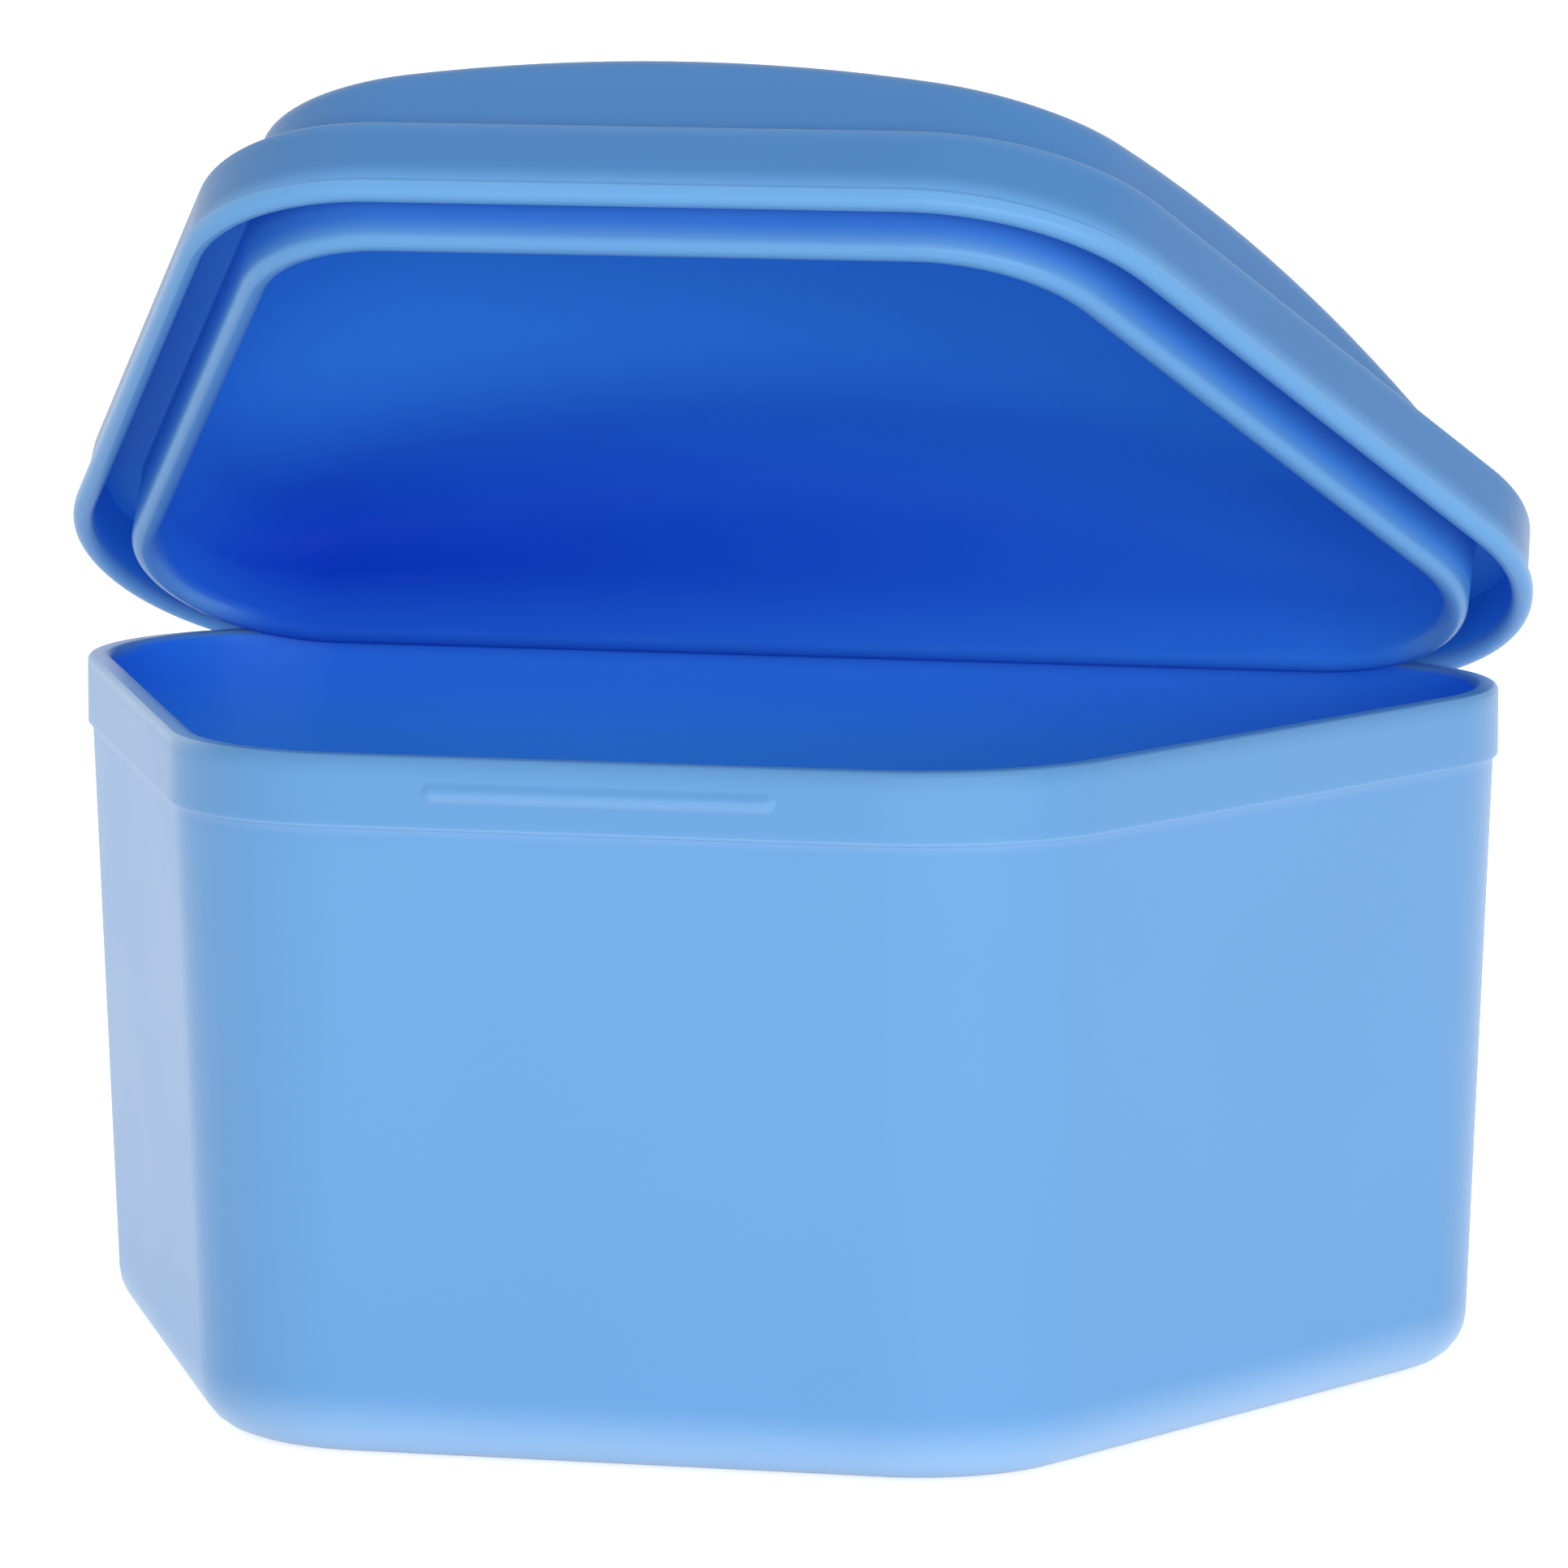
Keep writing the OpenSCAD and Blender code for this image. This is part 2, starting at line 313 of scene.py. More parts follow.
class CaseFinish(bpy.types.PropertyGroup):
    """Colours and gloss of the plastic, with the colours of its painted light and shade
    """

    tub: colour("Tub", "Satin outside of the tub", (0.167, 0.413, 0.79))
    # Painted shade: the rim, the top of the band and the bead's upper flank are darker
    tub_rim: colour("Tub rim", "Rim of the tub", (0.115, 0.32, 0.64))
    # Painted shade: the inside of the tub is deep blue below its rim
    tub_deep: colour("Tub inside", "Inside of the tub at its rim", (0.028, 0.235, 0.95))
    # Painted light: the inside of the tub is paler lower down
    tub_floor: colour("Tub floor", "Inside of the tub lower down", (0.068, 0.43, 1.0))
    # Painted shade: the outside of the lid is darker than its lip and than the tub
    lid: colour("Lid", "Satin outside of the lid", (0.075, 0.235, 0.53))
    # Painted light: the lip and the ends of the rib are paler
    lid_lip: colour("Lid lip", "Lip and rib of the lid", (0.16, 0.42, 0.81))
    # Painted shade: the inside of the lid is deep blue
    lid_deep: colour("Lid inside", "Inside of the lid at its front", (0.055, 0.36, 1.0))
    # Painted shade: the inside of the lid is darker at its back
    lid_back: colour("Lid back", "Inside of the lid at its back", (0.002, 0.038, 0.56))
    pin: colour("Pin", "Colour of the hinge pin", (0.12, 0.34, 0.74))
    # Painted glow and highlights: the pale foot, rim, band line, bead flank, ledge and
    # foot of the dome
    glow: colour("Glow", "Edges that let light through", (0.45, 0.70, 1.0))
    roughness: share("Roughness", "Roughness of the satin outside", 0.32)
    tub_roughness: share("Tub roughness", "Roughness of the inside of the tub", 0.3)
    lid_roughness: share("Lid roughness", "Roughness of the inside of the lid", 0.5)
    pin_roughness: share("Pin roughness", "Roughness of the hinge pin", 0.4)
    shine: share("Shine", "Specular level of the satin outside", 0.25)
    tub_shine: share("Tub shine", "Specular level of the inside of the tub", 0.1)
    lid_shine: share("Lid shine", "Specular level of the inside of the lid", 0.04)
    pin_shine: share("Pin shine", "Specular level of the hinge pin", 0.5)
    cloud: share("Cloud", "Unevenness of the colour", 0.03)
    smudge: share("Smudge", "How much handling dulls the gloss", 0.06)


class CaseStage(bpy.types.PropertyGroup):
    """Floor, light and camera"""

    floor_colour: colour("Floor", "Colour of the floor", (0.9, 0.9, 0.9))
    lift: share("Lift", "How much the floor is lifted to white where it is seen", 0.7)
    surround: share("Surround", "Light from all round", 0.69)
    lens: FloatProperty(
        name="Lens",
        description="Focal length in millimetres",
        default=223.17,
        subtype="DISTANCE_CAMERA",
    )


class CaseSettings(bpy.types.PropertyGroup):
    """Everything that shapes the case"""

    plan: PointerProperty(type=CasePlanSizes)
    tub: PointerProperty(type=CaseTubSizes)
    lid: PointerProperty(type=CaseLidSizes)
    hinge: PointerProperty(type=CaseHingeSizes)
    look_and_painted_light: PointerProperty(type=CaseFinish)
    stage: PointerProperty(type=CaseStage)


# Outline of the case


def heading(turn):
    """Direction in plan at an angle."""
    return Vector((math.cos(turn), math.sin(turn)))


def outline(plan):
    """Anticlockwise samples of the band face, as (point, outward direction)."""
    front_y = plan.front_corner - plan.depth / 2
    back_y = plan.depth / 2 - plan.back_corner
    across = Vector(((plan.back_flat - plan.front_flat) / 2, back_y - front_y))
    turn = math.acos((plan.front_corner - plan.back_corner) / across.length)
    lean = turn - math.atan2(across.y, across.x)
    # Middle and radius of each corner, and the angles at which it starts and ends
    pi = math.pi
    corners = [
        (plan.front_flat / 2, front_y, plan.front_corner, -pi / 2, -lean),
        (plan.back_flat / 2, back_y, plan.back_corner, -lean, pi / 2),
        (-plan.back_flat / 2, back_y, plan.back_corner, pi / 2, pi + lean),
        (-plan.front_flat / 2, front_y, plan.front_corner, pi + lean, 3 * pi / 2),
    ]
    samples = []
    for x, y, radius, start, end in corners:
        steps = math.ceil((end - start) / CORNER_STEP)
        for step in range(steps + 1):
            out = heading(start + (end - start) * step / steps)
            samples.append((Vector((x, y)) + radius * out, out))
    full = []
    for here, after in zip(samples, samples[1:] + samples[:1]):
        full.append(here)
        if (after[1] - here[1]).length < SAME_HEADING:
            for step in range(1, WALL_STEPS):
                full.append((here[0].lerp(after[0], step / WALL_STEPS), here[1]))
    return full


def place(sample, offset, z):
    """Point at an offset outwards from the band face and a height."""
    point, out = sample
    x, y = point + offset * out
    return Vector((x, y, z))


# Sections


def round_path(corners):
    """Path of (across, up) points through corners given as (across, up, radius)."""
    path = [Vector(corners[0][:2])]
    for before, here, after in zip(corners, corners[1:], corners[2:]):
        corner = Vector(here[:2])
        back = (Vector(before[:2]) - corner).normalized()
        ahead = (Vector(after[:2]) - corner).normalized()
        radius = here[2]
        half = back.angle(ahead) / 2
        if radius <= 0 or half > FLAT_CORNER:
            path.append(corner)
            continue
        run = radius / math.tan(half)
        middle = corner + (back + ahead).normalized() * radius / math.sin(half)
        start = corner + back * run - middle
        turn = start.angle_signed(corner + ahead * run - middle)
        count = max(EDGE_STEPS, math.ceil(abs(turn) / EDGE_STEP))
        for step in range(count + 1):
            spun = start.copy()
            spun.rotate(Matrix.Rotation(-turn * step / count, 2))
            path.append(middle + spun)
    path.append(Vector(corners[-1][:2]))
    return path


def fine_path(corners):
    """Round path with points added, so that none are further apart than FINE_STEP."""
    path = round_path(corners)
    full = [path[0]]
    for here, after in zip(path, path[1:]):
        steps = max(1, math.ceil((after - here).length / FINE_STEP))
        full += [here.lerp(after, step / steps) for step in range(1, steps + 1)]
    return full


def ramp(value, low, high):
    """0 at low, 1 at high and smooth in between, where low may be above high."""
    t = min(1, max(0, (value - low) / (high - low)))
    return t * t * (3 - 2 * t)


def fade(value, level, reach):
    """Ramp whose ends are given as heights over a level."""
    return ramp(value, level + reach[0], level + reach[1])


def share_in(out, part):
    """How far a place with an outward direction lies in a part of the outline."""
    axis, low, high = part
    return ramp(getattr(out, axis), low, high)


def bend_between(low, corner, high):
    """Points of a soft rounding from one side of a corner to the other."""
    points = []
    for step in range(BEND_STEPS + 1):
        t = step / BEND_STEPS
        points.append(
            low * (1 - t) * (1 - t) + corner * 2 * t * (1 - t) + high * t * t
        )
    return points


def rings_to_middle(edge, middle, height):
    """Points from the edge of a floor or crown towards its middle."""
    points = []
    for ring in range(1, CORE_RINGS):
        spot = edge.lerp(middle, ring / CORE_RINGS)
        points.append(Vector((spot.x, spot.y, height(spot.x, spot.y))))
    return points


# Meshes


def skin(columns, first, last, painted_masks=None):
    """Mesh over columns of points, closed by a point at each end.

    The painted masks say for each point of a column how far it has each of the MASKS of
    painted light and shade. What has the inside mask, the painted deep shade, takes the
    second material.
    """
    count = len(columns[0])
    around = len(columns)
    points = [column[row] for row in range(count) for column in columns]
    points += [first, last]
    faces = []
    for row in range(count - 1):
        low, high = row * around, (row + 1) * around
        for here in range(around):
            after = (here + 1) % around
            faces.append((low + here, low + after, high + after, high + here))
    top = (count - 1) * around
    for here in range(around):
        after = (here + 1) % around
        faces.append((here, count * around, after))
        faces.append((top + here, top + after, count * around + 1))
    mesh = bpy.data.meshes.new("skin")
    mesh.from_pydata(points, [], faces)
    if painted_masks:
        rows = [column[row] for row in range(count) for column in painted_masks]
        rows += [painted_masks[0][0], painted_masks[0][-1]]
        for number, label in enumerate(MASKS):
            values = [look_and_painted_light[number] for look_and_painted_light in rows]
            layer = mesh.attributes.new(label, "FLOAT", "POINT")
            layer.data.foreach_set("value", values)
        inside = mesh.attributes["inside"].data
        for face in mesh.polygons:
            total = sum(inside[corner].value for corner in face.vertices)
            face.material_index = int(total > len(face.vertices) / 2)
    return mesh


def add_piece(name, mesh, body, node, materials, turn=None):
    """Adds a finished mesh to the scene as a piece that rides on a body."""
    mesh.name = name
    if turn is not None:
        mesh.transform(turn)
    shaped = bmesh.new()
    shaped.from_mesh(mesh)
    bmesh.ops.remove_doubles(shaped, verts=shaped.verts, dist=MERGE_GAP)
    bmesh.ops.recalc_face_normals(shaped, faces=shaped.faces)
    shaped.to_mesh(mesh)
    shaped.free()
    mesh.shade_smooth()
    mesh.set_sharp_from_angle(angle=SHARP_ANGLE)
    for material in materials:
        mesh.materials.append(material)
    piece = bpy.data.objects.new(name, mesh)
    bpy.context.scene.collection.objects.link(piece)
    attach(piece, body)
    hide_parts(node)
    return piece


def slab_between(name, contour, hole, low_x, high_x, edge_round):
    """Mesh of a slab across X with soft edges, from a contour and a hole in (y, z)."""
    drawing = bpy.data.curves.new(name, "CURVE")
    drawing.dimensions = "2D"
    drawing.fill_mode = "BOTH"
    drawing.extrude = (high_x - low_x) / 2 - edge_round
    drawing.bevel_depth = edge_round
    drawing.bevel_resolution = 2
    drawing.offset = -edge_round
    for path in (contour, hole):
        spline = drawing.splines.new("POLY")
        spline.points.add(len(path) - 1)
        for point, (y, z) in zip(spline.points, path):
            point.co = (y, z, 0, 1)
        spline.use_cyclic_u = True
    holder = bpy.data.objects.new(name, drawing)
    bpy.context.scene.collection.objects.link(holder)
    graph = bpy.context.evaluated_depsgraph_get()
    mesh = bpy.data.meshes.new_from_object(holder.evaluated_get(graph))
    mesh.materials.clear()
    bpy.data.objects.remove(holder)
    bpy.data.curves.remove(drawing)
    # The drawing's X, Y and Z become the case's Y, Z and X
    across = Matrix(((0, 0, 1, 0), (1, 0, 0, 0), (0, 1, 0, 0), (0, 0, 0, 1)))
    mesh.transform(Matrix.Translation(((low_x + high_x) / 2, 0, 0)) @ across)
    return mesh


def circle_path(centre, radius, start=0.0, end=2 * math.pi, steps=ROUND_STEPS):
    """Points on a circle in the (y, z) plane, without the last one of a full turn."""
    whole = math.isclose(abs(end - start), 2 * math.pi)
    count = steps if whole else steps + 1
    return [
        centre + radius * heading(start + (end - start) * step / steps)
        for step in range(count)
    ]


def hinge_axis(case):
    """Place of the pin's axis as (y, z)."""
    return Vector(
        (case.plan.depth / 2 + case.hinge.back, case.tub.height - case.hinge.drop)
    )


def mouth_height(case):
    """Height of the lid's mouth when it is shut."""
    return case.tub.height - case.tub.band_height + case.lid.mouth_gap


def opened(case):
    """Turn that takes the lid from shut to where it rests."""
    y, z = hinge_axis(case)
    return (
        Matrix.Translation((0, y, z))
        @ Matrix.Rotation(-case.lid.opening, 4, "X")
        @ Matrix.Translation((0, -y, -z))
    )


# Materials


def new_group(name, inputs, outputs):
    """Shader node group with named float or colour sockets."""
    group = bpy.data.node_groups.new(name, "ShaderNodeTree")
    for label, kind, default in inputs:
        socket = group.interface.new_socket(
            name=label, in_out="INPUT", socket_type=kind
        )
        socket.default_value = default
    for label, kind in outputs:
        group.interface.new_socket(name=label, in_out="OUTPUT", socket_type=kind)
    return group


def node(tree, kind, **settings):
    """Node of a kind, with its settings."""
    made = tree.nodes.new(kind)
    for name, value in settings.items():
        setattr(made, name, value)
    return made


def maths(tree, operation, first, second):
    """Math node on two sockets or numbers, and its result."""
    made = node(tree, "ShaderNodeMath", operation=operation)
    for socket, value in zip(made.inputs, (first, second)):
        if isinstance(value, (int, float)):
            socket.default_value = value
        else:
            tree.links.new(value, socket)
    return made.outputs[0]


def noise(tree, coordinates, scale, detail):
    """Noise texture whose scale is a socket or a number, and its value."""
    made = node(tree, "ShaderNodeTexNoise")
    tree.links.new(coordinates, made.inputs["Vector"])
    made.inputs["Detail"].default_value = detail
    if isinstance(scale, (int, float)):
        made.inputs["Scale"].default_value = scale
    else:
        tree.links.new(scale, made.inputs["Scale"])
    return made.outputs["Fac"]


def blend_colour(tree, kind, factor, first, second):
    """Mix node on two colour sockets, and its result."""
    made = node(tree, "ShaderNodeMix", data_type="RGBA", blend_type=kind)
    if isinstance(factor, (int, float)):
        made.inputs["Factor"].default_value = factor
    else:
        tree.links.new(factor, made.inputs["Factor"])
    tree.links.new(first, made.inputs["A"])
    tree.links.new(second, made.inputs["B"])
    return made.outputs["Result"]


def painted_light_and_clouds():
    """Group: colour of a shell with its painted light and shade, painted edge tints and
    glow, painted deep shade inside, and a little cloudy.
    """
    known = bpy.data.node_groups.get("Painted light and clouds")
    if known:
        return known
    group = new_group(
        "Painted light and clouds",
        [(label, "NodeSocketColor", (0.5, 0.5, 0.5, 1)) for label in TONES]
        + [("Cloud", "NodeSocketFloat", 0.05), ("Scale", "NodeSocketFloat", 60.0)],
        [("Color", "NodeSocketColor")],
    )
    start = node(group, "NodeGroupInput")
    end = node(group, "NodeGroupOutput")
    inside, edge, hollow, glow = (
        node(group, "ShaderNodeAttribute", attribute_name=label).outputs["Fac"]
        for label in MASKS
    )
    plain, edged, inner, hollowed, lit = (start.outputs[label] for label in TONES)
    # Painted light and shade: edge tint and glow over the outside colour, and painted
    # deep shade with its hollow colour inside
    painted_outside = blend_colour(group, "MIX", edge, plain, edged)
    painted_outside = blend_colour(group, "MIX", glow, painted_outside, lit)
    deep = blend_colour(group, "MIX", hollow, inner, hollowed)
    tone = blend_colour(group, "MIX", inside, painted_outside, deep)
    spot = node(group, "ShaderNodeTexCoord").outputs["Object"]
    clouds = noise(group, spot, start.outputs["Scale"], detail=3)
    swing = maths(group, "SUBTRACT", clouds, 0.5)
    swing = maths(group, "MULTIPLY", swing, start.outputs["Cloud"])
    level = maths(group, "ADD", maths(group, "MULTIPLY", swing, 2), 1)
    tone = blend_colour(group, "MULTIPLY", 1, tone, level)
    group.links.new(tone, end.inputs["Color"])
    return group


def handled_surface():
    """Group: gloss dulled in patches by fingers, over the fine skin of the mould."""
    known = bpy.data.node_groups.get("Handled surface")
    if known:
        return known
    group = new_group(
        "Handled surface",
        [
            ("Roughness", "NodeSocketFloat", 0.3),
            ("Smudge", "NodeSocketFloat", 0.07),
            ("Smudge scale", "NodeSocketFloat", 90.0),
            ("Skin scale", "NodeSocketFloat", 2600.0),
        ],
        [("Roughness", "NodeSocketFloat"), ("Height", "NodeSocketFloat")],
    )
    start = node(group, "NodeGroupInput")
    end = node(group, "NodeGroupOutput")
    spot = node(group, "ShaderNodeTexCoord").outputs["Object"]
    smudges = noise(group, spot, start.outputs["Smudge scale"], detail=5)
    swing = maths(group, "SUBTRACT", smudges, 0.5)
    swing = maths(group, "MULTIPLY", swing, start.outputs["Smudge"])
    rough = maths(group, "ADD", start.outputs["Roughness"], swing)
    grain = noise(group, spot, start.outputs["Skin scale"], detail=2)
    group.links.new(rough, end.inputs["Roughness"])
    group.links.new(grain, end.inputs["Height"])
    return group


def group_node(tree, group, values):
    """Group in a tree, with values on its inputs."""
    made = node(tree, "ShaderNodeGroup", node_tree=group)
    for label, value in values.items():
        made.inputs[label].default_value = value
    return made


def plastic(name, colours, look_and_painted_light, roughness, shine, cloud_scale=CLOUD_SCALE):
    """Material of a moulding, from its outside colour and the colours of its painted
    edge tint, deep inside shade and hollow.
    """
    known = bpy.data.materials.get(name)
    if known:
        return known
    material = bpy.data.materials.new(name)
    material.use_nodes = True
    material.diffuse_color = (*colours[0], 1)
    tree = material.node_tree
    shader = tree.nodes["Principled BSDF"]
    shader.inputs["IOR"].default_value = PLASTIC_IOR
    shader.inputs["Specular IOR Level"].default_value = shine
    values = {tone: (*paint, 1) for tone, paint in zip(TONES, (*colours, look_and_painted_light.glow))}
    values.update({"Cloud": look_and_painted_light.cloud, "Scale": cloud_scale})
    tone = group_node(tree, painted_light_and_clouds(), values)
    values = {"Roughness": roughness, "Smudge": look_and_painted_light.smudge}
    worn = group_node(tree, handled_surface(), values)
    bump = node(tree, "ShaderNodeBump")
    bump.inputs["Strength"].default_value = SKIN_STRENGTH
    bump.inputs["Distance"].default_value = SKIN_DEPTH
    tree.links.new(worn.outputs["Height"], bump.inputs["Height"])
    tree.links.new(tone.outputs["Color"], shader.inputs["Base Color"])
    tree.links.new(worn.outputs["Roughness"], shader.inputs["Roughness"])
    tree.links.new(bump.outputs["Normal"], shader.inputs["Normal"])
    return material


def tub_plastic(case):
    """Materials of the tub, outside and inside."""
    look_and_painted_light = case.look_and_painted_light
    colours = (look_and_painted_light.tub, look_and_painted_light.tub_rim, look_and_painted_light.tub_deep, look_and_painted_light.tub_floor)
    inner = (look_and_painted_light.tub_roughness, look_and_painted_light.tub_shine)
    return (
        plastic("tub plastic", colours, look_and_painted_light, look_and_painted_light.roughness, look_and_painted_light.shine),
        plastic("tub plastic inside", colours, look_and_painted_light, *inner),
    )


def lid_plastic(case):
    """Materials of the lid, outside and inside."""
    look_and_painted_light = case.look_and_painted_light
    colours = (look_and_painted_light.lid, look_and_painted_light.lid_lip, look_and_painted_light.lid_deep, look_and_painted_light.lid_back)
    inner = (look_and_painted_light.lid_roughness, look_and_painted_light.lid_shine)
    return (
        plastic("lid plastic", colours, look_and_painted_light, look_and_painted_light.roughness, look_and_painted_light.shine),
        plastic("lid plastic inside", colours, look_and_painted_light, *inner),
    )


def pin_plastic(case):
    """Material of the hinge pin."""
    look_and_painted_light = case.look_and_painted_light
    colours = (look_and_painted_light.pin,) * len(MASKS)
    satin = (look_and_painted_light.pin_roughness, look_and_painted_light.pin_shine)
    return (plastic("pin plastic", colours, look_and_painted_light, *satin, PIN_CLOUD_SCALE),)


# Pieces


def add_tub_piece(name, mesh, case):
    """Adds a piece of the tub's moulding."""
    add_piece(name, mesh, "tub_body", "tub", tub_plastic(case))


def add_lid_piece(name, mesh, case):
    """Adds a piece of the lid's moulding, drawn shut and then turned open."""
    add_piece(
        name, mesh, "lid_body", "lid", lid_plastic(case), opened(case)
    )


class DENTURE_CASE_OT_tub(bpy.types.Operator):
    """Tub with its rounded bottom, its band and its rim"""

    bl_idname = "denture_case.tub"
    bl_label = "Tub"

    def execute(self, context):
        case = context.scene.denture_case
        tub = case.tub
        band_z = tub.height - tub.band_height
        foot = -tub.band_step - band_z * math.tan(tub.draft)
        outer = fine_path(
            [
                (-FLOOR_EDGE, 0, 0),
                (foot, 0, tub.bottom_round),
                (-tub.band_step, band_z, tub.edge_round / 2),
                (0, band_z, tub.edge_round),
                (0, band_z + 2 * tub.edge_round, 0),
                (0, tub.height, tub.rim_round),
                (-tub.wall / 2, tub.height, 0),
            ]
        )
        inner = fine_path(
            [
                (-tub.wall / 2, tub.height, 0),
                (-tub.wall, tub.height, tub.rim_round),
                (foot - tub.wall, tub.floor, tub.bottom_round - tub.wall),
                (-FLOOR_EDGE, tub.floor, 0),
            ]
        )[1:]

        def painted_light_of(sample):
            """Painted light down a column: painted glow at foot and rim, painted shade
            near the rim, and painted deep shade inside.
            """
            # Along the front the painted deep shade inside starts lower, where it isn't
            # seen
            front = share_in(sample[1], FRONT)
            start, full = (delay * front for delay in FRONT_DELAY)
            # On the left and round the back the rim has a painted highlight
            lit = max(share_in(sample[1], LEFT), share_in(sample[1], BACK_HALF))
            lit *= RIM_LIGHT
            # The underside is painted full glow
            look_and_painted_light = [GLOWING] * (CORE_RINGS - 1)
            for _offset, z in outer:
                # Painted shade towards the rim and just above the band step
                rim = fade(z, tub.height, RIM_TINT)
                rim = max(rim, BAND_SHADE * fade(z, band_z, BAND_TINT))
                # Painted highlight along the band step, painted glow at the foot and
                # painted highlight on the rim
                line = ramp(abs(z - band_z), 2 * tub.edge_round, tub.edge_round)
                top = lit * fade(z, tub.height, RIM_GLOW)
                glow = max(fade(z, 0, FOOT_GLOW), BAND_LINE * line, top)
                look_and_painted_light.append((0, rim, 0, glow))
            for offset, z in inner:
                # Painted deep shade inside, a painted highlight on the rim's inner
                # edge, and painted light lower down
                depth = tub.height - z - start
                deep = ramp(depth, TUB_DEEP[0], TUB_DEEP[1] + full)
                top = lit * ramp(offset, -tub.wall, -tub.wall / 2)
                look_and_painted_light.append((deep, 1, fade(z, tub.height, TUB_LOW), top))
            return look_and_painted_light + [DEEPEST] * (CORE_RINGS - 1)

        section = outer + inner
        columns = []
        painted_masks = []
        for sample in outline(case.plan):
            edge = place(sample, -FLOOR_EDGE, 0).to_2d()
            under = rings_to_middle(edge, Vector((0, 0)), lambda x, y: 0)
            over = rings_to_middle(edge, Vector((0, 0)), lambda x, y: tub.floor)
            wall = [place(sample, offset, z) for offset, z in section]
            columns.append(under[::-1] + wall + over)
            painted_masks.append(painted_light_of(sample))
        mesh = skin(columns, Vector((0, 0, 0)), Vector((0, 0, tub.floor)), painted_masks)
        add_tub_piece("tub_shell", mesh, case)
        return {"FINISHED"}


class DENTURE_CASE_OT_latch_bead(bpy.types.Operator):
    """Low ridge with round ends on the front of the band"""

    bl_idname = "denture_case.latch_bead"
    bl_label = "Latch bead"

    def execute(self, context):
        case = context.scene.denture_case
        tub = case.tub
        front = -case.plan.depth / 2
        middle_z = tub.height - tub.bead_drop
        half = (tub.bead_width - tub.bead_height) / 2
        radius = tub.bead_height / 2
        # The ridge swells softly from its edge to its middle
        rows = [(0, -SINK)]
        for step in range(BEAD_ROWS):
            part = step / BEAD_ROWS
            rows.append((radius * part, tub.bead_out * math.sin(math.pi / 2 * part)))
        ends = []
        for side, start in ((1, -math.pi / 2), (-1, math.pi / 2)):
            for step in range(BEAD_STEPS + 1):
                out = heading(start + math.pi * step / BEAD_STEPS)
                ends.append((side * half, out))
        flanks = [math.sin(math.pi * row / len(rows)) for row in range(len(rows))]
        columns = []
        painted_masks = []
        for x, out in ends:
            column = []
            for inset, proud in rows:
                spot = Vector((x, middle_z)) + (radius - inset) * out
                column.append(Vector((spot.x, front - proud, spot.y)))
            columns.append(column)
            # Painted highlight on the lower flank and painted shade on the upper one
            shade = BEAD_SHADE * max(0, out.y)
            glow = BEAD_GLOW * max(0, -out.y)
            painted_masks.append([(0, shade * flank, 0, glow * flank) for flank in flanks])
        mesh = skin(
            columns,
            Vector((0, front + SINK, middle_z)),
            Vector((0, front - tub.bead_out, middle_z)),
            painted_masks,
        )
        add_tub_piece("tub_latch_bead", mesh, case)
        return {"FINISHED"}


class DENTURE_CASE_OT_tub_brackets(bpy.types.Operator):
    """Two brackets on the back of the tub, each with a knuckle"""

    bl_idname = "denture_case.tub_brackets"
    bl_label = "Tub brackets"

    def execute(self, context):
        case = context.scene.denture_case
        hinge = case.hinge
        axis = hinge_axis(case)
        shelf = mouth_height(case) - hinge.gap
        wall = case.plan.depth / 2 - 2 * SINK - case.tub.band_step
        start = TUB_KNUCKLE_ARC[0]
        neck = axis.x + hinge.knuckle * math.cos(start)
        contour = round_path(
            [
                (wall, shelf, 0),
                (neck, shelf, NECK_ROUND),
                (neck, axis.y + hinge.knuckle * math.sin(start), 0),
            ]
        )
        contour += circle_path(axis, hinge.knuckle, *TUB_KNUCKLE_ARC)
        contour.append(Vector((wall, axis.y - hinge.bracket)))
        hole = circle_path(axis, hinge.pin + hinge.fit)
        inner = hinge.lid_knuckle / 2 + hinge.gap
        outer = inner + hinge.tub_knuckle
        for label, low, high in (("right", inner, outer), ("left", -outer, -inner)):
            mesh = slab_between("bracket", contour, hole, low, high, hinge.edge_round)
            add_tub_piece("tub_bracket_" + label, mesh, case)
        return {"FINISHED"}


